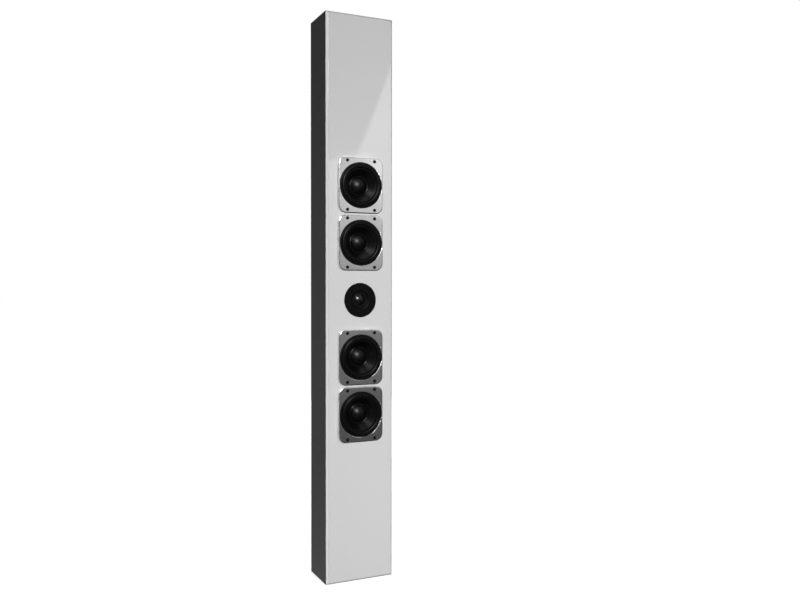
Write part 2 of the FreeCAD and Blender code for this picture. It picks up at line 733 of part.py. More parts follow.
def baffle():
    """Structural board behind the face panel, which the driver screws bite into."""
    body = new_body("baffle")
    outline = new_sketch(body, "outline", level=-(d.face_panel + d.wall))
    draw_rectangle(outline, INNER_WIDTH, INNER_HEIGHT)
    pad(body, outline, d.wall)
    holes = new_sketch(body, "driver_holes", level=-d.face_panel)
    draw_driver_holes(holes, d.cutout_radius)
    draw_tweeter_holes(holes)
    pocket(body, holes)
    return keep(upright_front(body, BOARD_RISE))


def side_panel(label, side):
    """Side board with its rear outer edge eased."""
    body, board = box_body(label, d.wall, CABINET_DEPTH, d.height)
    outer = d.wall.value / 2 * side
    back = CABINET_DEPTH.value / 2
    round_edges(body, board, d.rear_round, lambda edge: all(
        abs(point.X - outer) < SAME_PLACE and abs(point.Y - back) < SAME_PLACE for point in edge.Vertexes))
    return keep(place(body, (d.width - d.wall) / 2 * side, CABINET_MIDDLE, 0))


def bottom_panel():
    """Base board with four holes for the threaded inserts."""
    body, _ = box_body("bottom_panel", INNER_WIDTH, CABINET_DEPTH, d.wall)
    holes = new_sketch(body, "insert_holes", level=d.wall)
    for x, y in screw_places(d.insert_x, d.insert_y, -CABINET_MIDDLE):
        draw_circle(holes, d.insert_radius, x, y)
    pocket(body, holes)
    return keep(place(body, 0, CABINET_MIDDLE, 0))


def back_panel():
    """Back board with the stepped opening for the terminal cup and its screw holes."""
    body = new_body("back_panel")
    outline = new_sketch(body, "outline", level=-d.wall)
    shift = d.cup_level - d.height / 2
    draw_rectangle(outline, INNER_WIDTH, INNER_HEIGHT, y=shift)
    pad(body, outline, d.wall)
    holes = new_sketch(body, "cup_hole", level=0)
    wall = d.cup_skin * 2 + d.cup_gap * 2
    draw_rectangle(holes, d.cup_width + wall, d.cup_height + wall, d.cup_corner + d.cup_skin)
    for x, y in screw_places(d.cup_screw_x, d.cup_screw_y):
        draw_circle(holes, d.cup_screw, x, y)
    pocket(body, holes)
    rebate = new_sketch(body, "cup_rebate", level=0)
    draw_rectangle(rebate, d.cup_flange_width + d.cup_gap * 2, d.cup_flange_height + d.cup_gap * 2,
                   d.cup_corner)
    pocket(body, rebate, d.cup_skin)
    return keep(upright_back(body))


def brace(label):
    """Window brace across the inside of the cabinet."""
    depth = BACK_FRONT - BAFFLE_BACK
    body, _ = box_body(label, INNER_WIDTH, depth, d.wall)
    window = new_sketch(body, "window", level=d.wall)
    draw_rectangle(window, INNER_WIDTH - d.brace_rim * 2, depth - d.brace_edge * 2, d.brace_round)
    pocket(body, window)
    return body


def build_cabinet():
    """The boards, the braces, the damping block and the base inserts."""
    front_panel()
    baffle()
    side_panel("left_side", -1)
    side_panel("right_side", 1)
    lid, _ = box_body("top_panel", INNER_WIDTH, CABINET_DEPTH, d.wall)
    keep(place(lid, 0, CABINET_MIDDLE, d.height - d.wall))
    bottom_panel()
    back_panel()
    template = brace("brace_template")
    middle = (BACK_FRONT + BAFFLE_BACK) / 2
    mid_height = (d.height - d.wall) / 2
    braces = [place(copy_of(template, "brace"), 0, middle, mid_height + d.driver_pitch * slot)
              for slot in BRACE_SLOTS]
    keep_group("braces", braces)
    wadding, _ = box_body("damping_wadding", INNER_WIDTH - d.wadding_gap * 2,
                          BACK_FRONT - BAFFLE_BACK - d.wadding_gap * 2, d.wadding_height)
    keep(place(wadding, 0, middle, d.height - d.wall - d.wadding_gap - d.wadding_height))
    insert = ring_body("insert_template", d.insert_bore, d.insert_radius,
                       d.wall - d.insert_length, d.wall)
    inserts = [place(copy_of(insert, "floor_insert"), x, y, 0)
               for x, y in screw_places(d.insert_x, d.insert_y)]
    keep_group("floor_inserts", inserts)


# ---------------------------------------------------------------- terminals, crossover and leads

CUP_FLOOR = -d.cup_depth
BOARD_TOP = CUP_FLOOR - d.cup_skin
BOARD_BACK = BOARD_TOP - d.board
WASHER_LEVEL = CUP_FLOOR + d.post_collar_height


def terminal_cup():
    """Moulded cup, sunk into the back, with holes for its screws and the two posts."""
    body = new_body("terminal_cup")
    shell = new_sketch(body, "shell", level=BOARD_TOP)
    draw_rectangle(shell, d.cup_width + d.cup_skin * 2, d.cup_height + d.cup_skin * 2,
                   d.cup_corner + d.cup_skin)
    pad(body, shell, d.cup_depth + d.cup_skin)
    flange = new_sketch(body, "flange", level=-d.cup_skin)
    draw_rectangle(flange, d.cup_flange_width, d.cup_flange_height, d.cup_corner)
    pad(body, flange, d.cup_skin)
    hollow = new_sketch(body, "hollow", level=0)
    draw_rectangle(hollow, d.cup_width, d.cup_height, d.cup_corner)
    pocket(body, hollow, d.cup_depth)
    holes = new_sketch(body, "holes", level=0)
    for x, y in screw_places(d.cup_screw_x, d.cup_screw_y):
        draw_circle(holes, d.cup_screw + d.screw_clearance, x, y)
    for side in POST_SIDES.values():
        draw_circle(holes, d.post_shank, d.post_pitch / 2 * side)
    pocket(body, holes)
    return keep(upright_back(body))


def post_stud(label):
    """Brass binding post: collar, barrel with the plug bore, and the shank behind the cup."""
    body = new_body(label)
    top = -d.post_top
    tail = BOARD_TOP - d.post_tail
    turn(body, "section", [
        (0, tail), (d.post_shank, tail), (d.post_shank, CUP_FLOOR), (d.post_collar, CUP_FLOOR),
        (d.post_collar, WASHER_LEVEL), (d.post_radius, WASHER_LEVEL), (d.post_radius, top),
        (d.post_bore, top), (d.post_bore, top - d.post_bore_depth), (0, top - d.post_bore_depth)])
    return body


def post_nut(label):
    """Hexagonal nut that clamps a post and the crossover board to the cup."""
    body = new_body(label)
    outline = new_sketch(body, "outline", level=BOARD_BACK - d.nut_height)
    draw_hexagon(outline, d.nut_size)
    draw_circle(outline, d.post_shank)
    pad(body, outline, d.nut_height)
    return body


def post_cap(label):
    """Fluted clamping cap that screws along the post."""
    body = new_body(label)
    bottom = WASHER_LEVEL + d.washer
    bore = d.post_radius + d.post_running_gap
    turn(body, "section", [
        (bore, bottom), (d.cap_outer, bottom), (d.cap_outer, bottom + d.cap_length - d.cap_chamfer),
        (d.cap_outer - d.cap_chamfer, bottom + d.cap_length), (bore, bottom + d.cap_length)])
    flute = new_sketch(body, "flute", level=bottom + d.cap_length)
    draw_circle(flute, d.cap_groove, d.cap_outer)
    repeat_round(body, pocket(body, flute, d.cap_length - d.cap_collar), CAP_GROOVES)
    return body


def crossover_board():
    """Circuit board on the back of the cup."""
    body = new_body("crossover_board")
    outline = new_sketch(body, "outline", level=BOARD_BACK)
    draw_rectangle(outline, d.board_width, d.board_height)
    for side in POST_SIDES.values():
        draw_circle(outline, d.post_shank, d.post_pitch / 2 * side)
    pad(body, outline, d.board)
    return keep(upright_back(body))


def crossover_parts():
    """Two ring inductors and two round capacitors standing on the board."""
    coil = ring_body("inductor_template", d.coil_bore, d.coil_radius, BOARD_BACK - d.coil_height, BOARD_BACK)
    keep_group("crossover_inductors", [
        place(copy_of(coil, "inductor"), d.coil_x * side, d.depth / 2, d.cup_level + d.coil_y * side,
              Rotation(Vector(1, 0, 0), -90)) for side in POST_SIDES.values()])
    can = new_body("capacitor_template")
    turn(can, "section", [(0, BOARD_BACK - d.can_length), (d.can_radius, BOARD_BACK - d.can_length),
                          (d.can_radius, BOARD_BACK), (0, BOARD_BACK)])
    keep_group("crossover_capacitors", [
        place(copy_of(can, "capacitor"), d.can_x * side, d.depth / 2, d.cup_level - d.can_y * side,
              Rotation(Vector(1, 0, 0), -90)) for side in POST_SIDES.values()])


def lead_solid(points, radius):
    """A round lead along straight runs joined by one tangent arc."""
    start, corner, finish = points
    before = (start - corner)
    after = (finish - corner)
    half_turn = (math.pi - before.getAngle(after)) / 2
    reach = LEAD_BEND * min(before.Length, after.Length)
    before.normalize()
    after.normalize()
    enter = corner + before * reach
    leave = corner + after * reach
    bend = reach / math.tan(half_turn)
    centre = corner + (before + after).normalize() * (bend / math.cos(half_turn))
    middle = centre + (corner - centre).normalize() * bend
    path = Part.Wire([Part.LineSegment(start, enter).toShape(),
                      Part.Arc(enter, middle, leave).toShape(),
                      Part.LineSegment(leave, finish).toShape()])
    section = Part.Wire([Part.makeCircle(radius, start, before)])
    return path.makePipeShell([section], True, False)


def internal_leads():
    """One lead from the crossover up to each woofer, lowest first, and then the tweeter's."""
    tab_end = -(d.basket_neck.value + d.tab_length.value)
    tab_depth = d.tab_level.value - d.depth.value / 2
    ends = {slot: Vector(tab_end, tab_depth, 0) for slot in DRIVER_SLOTS.values()}
    ends[0] = Vector(-d.pole_radius.value, BAFFLE_BACK.value + d.lead_radius.value * 2, 0)
    leads = []
    for place_in_row, slot in enumerate([*sorted(DRIVER_SLOTS.values()), 0]):
        x = d.lead_first.value + d.lead_pitch.value * place_in_row
        level = d.tweeter_level.value + d.driver_pitch.value * slot
        start = Vector(x, d.lead_depth.value, d.lead_start.value)
        corner = Vector(x, d.lead_depth.value, level - d.lead_rise.value)
        leads.append(lead_solid([start, corner, ends[slot] + Vector(0, 0, level)], d.lead_radius.value))
    feature = doc.addObject("Part::Feature", "internal_leads")
    feature.Label = "internal_leads"
    feature.Shape = Part.makeCompound(leads)
    return keep(feature)


def build_terminals():
    """The cup, its screws, the binding posts, the crossover and the leads."""
    terminal_cup()
    screw = screw_body("cup_screw_template", d.cup_screw_head_height, d.cup_screw_head,
                       d.cup_screw_head_height, d.cup_screw, d.cup_screw_reach, d.cup_screw * SMALL_SOCKET)
    screws = [place(copy_of(screw, "cup_screw"), x, d.depth / 2, y, Rotation(Vector(1, 0, 0), -90))
              for x, y in screw_places(d.cup_screw_x, d.cup_screw_y, d.cup_level)]
    keep_group("terminal_cup_screws", screws)
    stud = post_stud("stud_template")
    nut = post_nut("nut_template")
    places = [d.post_pitch / 2 * side for side in POST_SIDES.values()]
    keep_group("binding_post_studs", [upright_back(copy_of(stud, "post_stud"), x) for x in places])
    keep_group("binding_post_nuts", [upright_back(copy_of(nut, "post_nut"), x) for x in places])
    for colour, side in POST_SIDES.items():
        x = d.post_pitch / 2 * side
        washer = ring_body(f"{colour}_post_washer", d.post_radius + d.post_running_gap * 2,
                           d.washer_radius, WASHER_LEVEL, WASHER_LEVEL + d.washer)
        keep(upright_back(washer, x))
        keep(upright_back(post_cap(f"{colour}_post_cap"), x))
    crossover_board()
    crossover_parts()
    internal_leads()


# ---------------------------------------------------------------- checks and files

def check_document():
    """Stop if any object failed, or any node is empty or not valid."""
    for item in doc.Objects:
        if "Invalid" in item.State or "Error" in item.State:
            raise RuntimeError(f"{item.Name} failed: {item.State}")
    for node in nodes:
        if node.Shape.isNull() or not node.Shape.isValid() or not node.Shape.Solids:
            raise RuntimeError(f"{node.Label} has no valid shape")


def write_parts():
    """One STEP file for each node."""
    os.makedirs("parts", exist_ok=True)
    for node in nodes:
        node.Shape.exportStep(f"parts/{node.Label}.step")
    print(len(nodes), "nodes")


build_woofers()
build_tweeter()
build_cabinet()
build_terminals()
doc.recompute()
check_document()
write_parts()
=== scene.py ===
import json
import math

import bmesh
import bpy
import numpy as np
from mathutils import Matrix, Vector


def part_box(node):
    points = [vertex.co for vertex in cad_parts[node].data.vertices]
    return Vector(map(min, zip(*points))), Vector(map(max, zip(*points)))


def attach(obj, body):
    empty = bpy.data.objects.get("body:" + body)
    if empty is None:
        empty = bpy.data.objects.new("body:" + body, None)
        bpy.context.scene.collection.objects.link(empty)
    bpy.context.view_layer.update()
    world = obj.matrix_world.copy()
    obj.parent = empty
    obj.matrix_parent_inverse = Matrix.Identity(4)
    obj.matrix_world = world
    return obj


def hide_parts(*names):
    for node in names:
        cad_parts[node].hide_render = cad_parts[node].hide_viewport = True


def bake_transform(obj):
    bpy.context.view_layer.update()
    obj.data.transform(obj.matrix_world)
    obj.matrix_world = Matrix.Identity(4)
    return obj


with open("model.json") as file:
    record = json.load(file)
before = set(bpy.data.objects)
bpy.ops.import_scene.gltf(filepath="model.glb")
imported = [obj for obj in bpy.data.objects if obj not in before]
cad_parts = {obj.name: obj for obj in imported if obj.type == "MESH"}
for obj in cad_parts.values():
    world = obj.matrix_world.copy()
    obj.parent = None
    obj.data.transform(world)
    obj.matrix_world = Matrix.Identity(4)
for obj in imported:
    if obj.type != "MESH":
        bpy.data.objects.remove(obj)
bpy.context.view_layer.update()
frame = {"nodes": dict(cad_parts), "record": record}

# A slim floorstanding loudspeaker. Metres, +Z up, the front faces -Y.

MM = 0.001
WOOFERS = (1, 2, 3, 4)
TURNS = 144                 # faces round a turned piece
SMOOTH_ANGLE = math.radians(35)
WAVE_SCALE = math.pi / 10   # makes the wave texture repeat once per unit

nodes = frame["nodes"]


# ---------------------------------------------------------------- materials

class Look:
    """One procedural material: a principled shader and the textures that drive it."""

    def __init__(self, name, color, roughness, **sockets):
        self.material = bpy.data.materials.new(name)
        self.material.use_nodes = True
        self.tree = self.material.node_tree
        self.tree.nodes.clear()
        self.output = self.add("ShaderNodeOutputMaterial")
        self.shader = self.add("ShaderNodeBsdfPrincipled")
        self.link(self.shader.outputs["BSDF"], self.output.inputs["Surface"])
        self.shader.inputs["Base Color"].default_value = (*color, 1)
        self.shader.inputs["Roughness"].default_value = roughness
        self.color = color
        self.roughness = roughness
        for socket, value in sockets.items():
            self.shader.inputs[socket.replace("_", " ")].default_value = value
        self.place = self.add("ShaderNodeTexCoord").outputs["Object"]
        self.normal = None

    def add(self, kind, **settings):
        node = self.tree.nodes.new(kind)
        for key, value in settings.items():
            setattr(node, key, value)
        return node

    def link(self, source, target):
        self.tree.links.new(source, target)

    def math(self, operation, a, b=None):
        """A math node over sockets or numbers."""
        node = self.add("ShaderNodeMath", operation=operation)
        for socket, value in zip(node.inputs, (a, b)):
            if isinstance(value, bpy.types.NodeSocket):
                self.link(value, socket)
            elif value is not None:
                socket.default_value = value
        return node.outputs[0]

    def stretched(self, scale):
        """The object's own coordinates, scaled by axis."""
        mapping = self.add("ShaderNodeMapping")
        mapping.inputs["Scale"].default_value = scale
        self.link(self.place, mapping.inputs["Vector"])
        return mapping.outputs["Vector"]

    def noise(self, size, detail=3.0, stretch=(1, 1, 1)):
        """Noise with features of about that size in metres, from 0 to 1."""
        node = self.add("ShaderNodeTexNoise")
        node.inputs["Scale"].default_value = 1
        node.inputs["Detail"].default_value = detail
        self.link(self.stretched([s / size for s in stretch]), node.inputs["Vector"])
        return node.outputs["Fac"]

    def cells(self, size, feature="F1", output="Distance"):
        """Voronoi cells of about that size in metres."""
        node = self.add("ShaderNodeTexVoronoi", feature=feature)
        node.inputs["Scale"].default_value = 1
        self.link(self.stretched([1 / size] * 3), node.inputs["Vector"])
        return node.outputs[output]

    def waves(self, size, axis):
        """Parallel ridges across an axis, that far apart in metres."""
        node = self.add("ShaderNodeTexWave", wave_type="BANDS", bands_direction=axis)
        node.inputs["Scale"].default_value = WAVE_SCALE
        node.inputs["Distortion"].default_value = 0.0
        self.link(self.stretched([1 / size] * 3), node.inputs["Vector"])
        return node.outputs["Fac"]

    def between(self, fac, low, high, start=0.3, end=0.7):
        """Map a texture onto a range of numbers."""
        node = self.add("ShaderNodeMapRange")
        node.clamp = True
        for socket, value in (("From Min", start), ("From Max", end), ("To Min", low), ("To Max", high)):
            node.inputs[socket].default_value = value
        self.link(fac, node.inputs["Value"])
        return node.outputs["Result"]

    def tint(self, fac, amount, start=0.3, end=0.7, other=None):
        """Vary the base colour: darker by amount where the texture is low, lighter where it is high.
        With another colour, go from the base colour to that one instead."""
        low = [c * (1 - amount) for c in self.color] if other is None else self.color
        high = [min(c * (1 + amount), 1) for c in self.color] if other is None else other
        ramp = self.add("ShaderNodeValToRGB")
        ramp.color_ramp.elements[0].position = start
        ramp.color_ramp.elements[1].position = end
        ramp.color_ramp.elements[0].color = (*low, 1)
        ramp.color_ramp.elements[1].color = (*high, 1)
        self.link(fac, ramp.inputs["Fac"])
        self.link(ramp.outputs["Color"], self.shader.inputs["Base Color"])
        return self

    def polish(self, fac, spread):
        """Vary the roughness round its own value."""
        value = self.between(fac, max(self.roughness - spread, 0.02), min(self.roughness + spread, 1))
        self.link(value, self.shader.inputs["Roughness"])
        return self

    def bump(self, fac, depth, coat=False):
        """Raise the surface, or only its coat, by a texture: depth metres from its low to its high."""
        node = self.add("ShaderNodeBump")
        node.inputs["Strength"].default_value = 1.0
        node.inputs["Distance"].default_value = depth
        self.link(fac, node.inputs["Height"])
        if self.normal is not None and not coat:
            self.link(self.normal, node.inputs["Normal"])
        if coat:
            self.link(node.outputs["Normal"], self.shader.inputs["Coat Normal"])
        else:
            self.normal = node.outputs["Normal"]
            self.link(self.normal, self.shader.inputs["Normal"])
        return self


looks = {}


def look(slot, color, roughness, **sockets):
    """Start the material of a record's slot."""
    made = Look(slot, color, roughness, **sockets)
    looks[slot] = made
    return made


def make_looks():
    """A procedural material for every slot."""
    lacquer = look("cabinet_lacquer", (0.63, 0.63, 0.632), 0.5, Specular_IOR_Level=0.1,
                   Coat_Weight=1.0, Coat_Roughness=0.018, Coat_IOR=1.8)
    lacquer.tint(lacquer.cells(0.35 * MM, output="Color"), 0.05, 0.1, 0.9)
    lacquer.polish(lacquer.noise(40 * MM, 3), 0.04)
    lacquer.bump(lacquer.noise(3.5 * MM, 1.5), 0.0004 * MM, coat=True)

    raw = look("raw_board", (0.44, 0.33, 0.22), 0.85)
    raw.tint(raw.noise(1.2 * MM, 6, (1, 1, 0.3)), 0.3)
    raw.bump(raw.noise(0.8 * MM, 5), 0.15 * MM)

    wadding = look("wadding", (0.78, 0.78, 0.75), 0.95, Sheen_Weight=0.3)
    wadding.tint(wadding.noise(6 * MM, 8), 0.18)
    wadding.bump(wadding.noise(3 * MM, 8), 1.2 * MM)

    foam = look("gasket_foam", (0.02, 0.02, 0.02), 0.9)
    foam.tint(foam.cells(0.8 * MM), 0.4, 0.1, 0.8)
    foam.bump(foam.cells(0.8 * MM), 0.2 * MM)

    steel = look("steel", (0.55, 0.55, 0.56), 0.35, Metallic=1.0)
    steel.tint(steel.noise(7 * MM, 5), 0.12)
    steel.polish(steel.noise(2 * MM, 6), 0.1)
    steel.bump(steel.noise(0.5 * MM, 4), 0.01 * MM)

    ferrite = look("ferrite", (0.035, 0.035, 0.04), 0.5, Metallic=0.3)
    ferrite.tint(ferrite.noise(1.0 * MM, 6), 0.35)
    ferrite.bump(ferrite.noise(0.7 * MM, 6), 0.06 * MM)

    tab = look("tinned_tab", (0.72, 0.7, 0.64), 0.28, Metallic=1.0)
    tab.tint(tab.noise(1.5 * MM, 4), 0.12)
    tab.bump(tab.noise(0.6 * MM, 4), 0.02 * MM)

    screw = look("screw_black", (0.003, 0.003, 0.0032), 0.45, Specular_IOR_Level=0.05)
    screw.tint(screw.noise(1.0 * MM, 4), 0.35)
    screw.polish(screw.noise(0.6 * MM, 4), 0.1)
    screw.bump(screw.noise(0.35 * MM, 3), 0.01 * MM)

    face = look("faceplate_black", (0.0032, 0.0032, 0.0034), 0.5, Specular_IOR_Level=0.045)
    face.tint(face.noise(9 * MM, 4), 0.25)
    face.polish(face.noise(2.5 * MM, 5), 0.06)
    face.bump(face.noise(0.35 * MM, 2), 0.012 * MM)

    dome = look("dome", (0.003, 0.003, 0.0032), 0.34, Specular_IOR_Level=0.14, Coat_Weight=1.0,
                Coat_Roughness=0.17, Coat_IOR=1.33)
    dome.tint(dome.noise(5 * MM, 3), 0.3)
    dome.bump(dome.noise(2.2 * MM, 2), 0.008 * MM)

    cloth = look("dome_cloth", (0.0025, 0.0025, 0.0027), 0.6, Specular_IOR_Level=0.15)
    weave = cloth.math("MULTIPLY", cloth.waves(0.35 * MM, "X"), cloth.waves(0.35 * MM, "Z"))
    cloth.tint(weave, 0.35, 0.1, 0.9)
    cloth.bump(weave, 0.03 * MM)

    copper = look("coil_copper", (0.72, 0.31, 0.14), 0.3, Metallic=1.0, Coat_Weight=0.4)
    copper.tint(copper.waves(0.5 * MM, "Y"), 0.25, 0.1, 0.9)
    copper.bump(copper.waves(0.5 * MM, "Y"), 0.12 * MM)

    cup = look("cup_plastic", (0.014, 0.014, 0.0145), 0.5)
    cup.tint(cup.noise(12 * MM, 4), 0.2)
    cup.polish(cup.noise(3 * MM, 5), 0.07)
    cup.bump(cup.cells(0.5 * MM), 0.03 * MM)

    brass = look("post_brass", (0.86, 0.63, 0.28), 0.2, Metallic=1.0)
    brass.tint(brass.noise(3 * MM, 4), 0.08)
    brass.polish(brass.noise(1.2 * MM, 4), 0.06)
    brass.bump(brass.waves(0.3 * MM, "Y"), 0.008 * MM)

    for slot, color in (("cap_red", (0.42, 0.008, 0.008)), ("cap_black", (0.01, 0.01, 0.01))):
        cap = look(slot, color, 0.22, Coat_Weight=0.3, Coat_Roughness=0.08)
        cap.tint(cap.noise(4 * MM, 3), 0.15)
        cap.polish(cap.noise(1.5 * MM, 4), 0.06)
        cap.bump(cap.noise(0.6 * MM, 3), 0.008 * MM)

    board = look("board_green", (0.02, 0.13, 0.05), 0.3, Coat_Weight=0.5)
    board.tint(board.cells(9 * MM, "DISTANCE_TO_EDGE"), 0.0, 0.04, 0.06, (0.03, 0.2, 0.08))
    board.bump(board.noise(0.4 * MM, 2), 0.01 * MM)

    can = look("capacitor", (0.04, 0.05, 0.17), 0.25, Coat_Weight=0.4)
    can.tint(can.noise(5 * MM, 4), 0.15)
    can.bump(can.noise(1.5 * MM, 3), 0.03 * MM)

    jacket = look("lead_jacket", (0.03, 0.03, 0.032), 0.55)
    jacket.tint(jacket.noise(4 * MM, 4), 0.25)
    jacket.bump(jacket.noise(0.5 * MM, 3), 0.02 * MM)

    cast = look("frame_silver", (0.87, 0.87, 0.875), 0.15, Metallic=1.0)
    cast.tint(cast.noise(0.35 * MM, 2), 0.04)
    cast.polish(cast.noise(9 * MM, 3), 0.012)
    cast.bump(cast.noise(0.3 * MM, 2), 0.0015 * MM)

    rubber = look("surround_rubber", (0.003, 0.003, 0.0032), 0.34, Specular_IOR_Level=0.1)
    rubber.tint(rubber.noise(6 * MM, 4), 0.3)
    rubber.polish(rubber.noise(2.5 * MM, 5), 0.06)
    rubber.bump(rubber.noise(0.6 * MM, 3), 0.02 * MM)

    cone = look("cone_black", (0.0015, 0.0015, 0.0016), 0.32, Specular_IOR_Level=0.13)
    cone.tint(cone.noise(3 * MM, 6), 0.35)
    cone.polish(cone.noise(1.8 * MM, 5), 0.06)
    cone.bump(cone.noise(0.9 * MM, 5), 0.02 * MM)

    cap = look("cap_dome", (0.0015, 0.0015, 0.0016), 0.37, Specular_IOR_Level=0.21)
    cap.tint(cap.noise(4 * MM, 5), 0.25)
    cap.polish(cap.noise(1.6 * MM, 5), 0.05)
    cap.bump(cap.noise(0.7 * MM, 4), 0.012 * MM)

    former = look("coil_former", (0.5, 0.4, 0.3), 0.4, Metallic=0.8)
    former.tint(former.waves(0.4 * MM, "Y"), 0.3, 0.1, 0.9)
    former.bump(former.waves(0.4 * MM, "Y"), 0.1 * MM)

    spider = look("spider_cloth", (0.5, 0.36, 0.16), 0.85, Sheen_Weight=0.2)
    weave = spider.math("MULTIPLY", spider.waves(0.8 * MM, "X"), spider.waves(0.8 * MM, "Z"))
    spider.tint(weave, 0.3, 0.1, 0.9)
    spider.bump(weave, 0.15 * MM)


def paint(thing, slot):
    """Give an object its slot's material alone."""
    thing.data.materials.clear()
    thing.data.materials.append(looks[slot].material)


# ---------------------------------------------------------------- turned pieces

def middle_of(node):
    """Centre of a CAD node's box."""
    low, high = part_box(node)
    return (low + high) / 2


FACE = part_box("front_panel")[0].y          # the front panel's face


def turned(name, slot, centre, profile):
    """A piece turned about a driver's axis from a closed outline of (radius, height above the face)
    points, in mm."""
    mesh = bpy.data.meshes.new(name)
    build = bmesh.new()
    rings = []
    for radius, height in profile:
        ring = []
        for step in range(TURNS):
            angle = 2 * math.pi * step / TURNS
            ring.append(build.verts.new((
                centre.x + radius * MM * math.cos(angle), FACE - height * MM,
                centre.z + radius * MM * math.sin(angle))))
        rings.append(ring)
    for first, second in zip(rings, rings[1:] + rings[:1]):
        for step in range(TURNS):
            after = (step + 1) % TURNS
            build.faces.new((first[step], first[after], second[after], second[step]))
    bmesh.ops.recalc_face_normals(build, faces=build.faces)
    for face in build.faces:
        face.smooth = True
    for edge in build.edges:
        edge.smooth = edge.calc_face_angle(0) < SMOOTH_ANGLE
    build.to_mesh(mesh)
    build.free()
    piece = bpy.data.objects.new(name, mesh)
    bpy.context.scene.collection.objects.link(piece)
    paint(piece, slot)
    return piece


def arc(centre_radius, centre_height, radius, start, end, steps):
    """Points along an arc of the turned outline, angles in degrees from outward."""
    points = []
    for step in range(steps + 1):
        angle = math.radians(start + (end - start) * step / steps)
        points.append((centre_radius + radius * math.cos(angle),
                       centre_height + radius * math.sin(angle)))
    return points


def flex(piece):
    """Bake the ring's place into its mesh."""
    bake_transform(piece)


# The woofer's rubber surround, in mm: levels are heights above the face.
SEAT = 3.5                  # the ledge it is glued to
RUBBER = 0.7
RUBBER_TOP = SEAT + RUBBER
RIM = 49.1                  # its outer edge
LAND = 46.2                 # where the flat rim turns up into the roll
LIP = 0.65                  # radius of that turn
ROLL_CENTRE = 41.1
ROLL_OUTER = 3.7
ROLL_INNER = 3.0
LAP = 36.9                  # inner end of the roll, and the flat lap on the cone
LAP_END = 34.6

# The glue bead in the corner between cone and dust cap.
BEAD_CENTRE = 20.7
BEAD_LEVEL = -8.1
BEAD = 0.9

# The pleated spider.
SPIDER_LEVEL = -22
SPIDER_SKIN = 0.6
SPIDER_RIM = 33.9
SPIDER_FLAT = 31.5          # inner end of the flat rim
SPIDER_NECK = 12.7
PLEATED = (30.2, 14.6)      # outer and inner end of the pleats
PLEATS = 7
PLEAT_STEPS = 72
PLEAT_HEIGHT = 1.25

# The tweeter's cloth roll.
CLOTH_BASE = -3.3
CLOTH_TOP = -2.7
CLOTH_RIM = 18.9
CLOTH_ROLL = 14.75          # centre of the roll
CLOTH_OUTER = 1.6
CLOTH_INNER = 1.15
CLOTH_FLAT = 16.5           # inner end of the flat rim
CLOTH_NECK = 13.05


def woofer_surround(number, centre):
    """The half-round rubber surround of one woofer."""
    outline = [(RIM, SEAT), (RIM, RUBBER_TOP - 0.15), (RIM - 0.2, RUBBER_TOP), (LAND + 0.4, RUBBER_TOP),
               (LAND, RUBBER_TOP + 0.1)]
    outline += arc(LAND, RUBBER_TOP + LIP + 0.1, LIP, -90, -160, 4)
    outline += arc(ROLL_CENTRE, SEAT + RUBBER, ROLL_OUTER, 8, 172, 28)
    outline += [(LAP + 0.35, RUBBER_TOP - 0.05), (LAP, RUBBER_TOP), (LAP_END + 0.4, RUBBER_TOP),
                (LAP_END, RUBBER_TOP - 0.2), (LAP_END, SEAT)]
    outline += arc(ROLL_CENTRE, SEAT, ROLL_INNER, 180, 0, 24)
    surround = turned(f"woofer_{number}_rubber_surround", "surround_rubber", centre, outline)
    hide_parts(f"woofer_{number}_surround")
    flex(surround)


def woofer_bead(number, centre, moving):
    """The glue bead round one dust cap."""
    outline = arc(BEAD_CENTRE, BEAD_LEVEL, BEAD, 0, 345, 12)
    bead = turned(f"woofer_{number}_glue_bead", "dome", centre, outline)
    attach(bead, moving)


def woofer_spider(number, centre):
    """The pleated spider of one woofer, an even skin that rises and falls."""
    outer, inner = PLEATED
    upper = [(SPIDER_RIM, SPIDER_LEVEL + SPIDER_SKIN), (SPIDER_FLAT, SPIDER_LEVEL + SPIDER_SKIN)]
    lower = [(SPIDER_RIM, SPIDER_LEVEL), (SPIDER_FLAT, SPIDER_LEVEL)]
    for step in range(PLEAT_STEPS + 1):
        share = step / PLEAT_STEPS
        radius = outer + (inner - outer) * share
        rise = PLEAT_HEIGHT * math.sin(2 * math.pi * PLEATS * share)
        upper.append((radius, SPIDER_LEVEL + SPIDER_SKIN + rise))
        lower.append((radius, SPIDER_LEVEL + rise))
    upper.append((SPIDER_NECK, SPIDER_LEVEL + SPIDER_SKIN))
    lower.append((SPIDER_NECK, SPIDER_LEVEL))
    spider = turned(f"woofer_{number}_pleated_spider", "spider_cloth", centre, upper + lower[::-1])
    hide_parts(f"woofer_{number}_spider")
    flex(spider)


def woofer_soft_parts(number):
    """What bends or is glued in one woofer."""
    moving = f"woofer_{number}_diaphragm"
    centre = middle_of(f"woofer_{number}_cone")
    woofer_surround(number, centre)
    woofer_bead(number, centre, moving)
    woofer_spider(number, centre)


def tweeter_soft_part():
    """The tweeter's narrow cloth roll."""
    centre = middle_of("tweeter_dome")
    outline = [(CLOTH_RIM, CLOTH_BASE), (CLOTH_RIM, CLOTH_TOP), (CLOTH_FLAT, CLOTH_TOP)]
    outline += arc(CLOTH_ROLL, CLOTH_TOP, CLOTH_OUTER, 15, 168, 14)
    outline += [(CLOTH_NECK, CLOTH_TOP), (CLOTH_NECK, CLOTH_BASE)]
    outline += arc(CLOTH_ROLL, CLOTH_BASE, CLOTH_INNER, 180, 0, 12)
    roll = turned("tweeter_cloth_surround", "dome_cloth", centre, outline)
    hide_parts("tweeter_surround")
    flex(roll)


# ---------------------------------------------------------------- stage, lights and camera

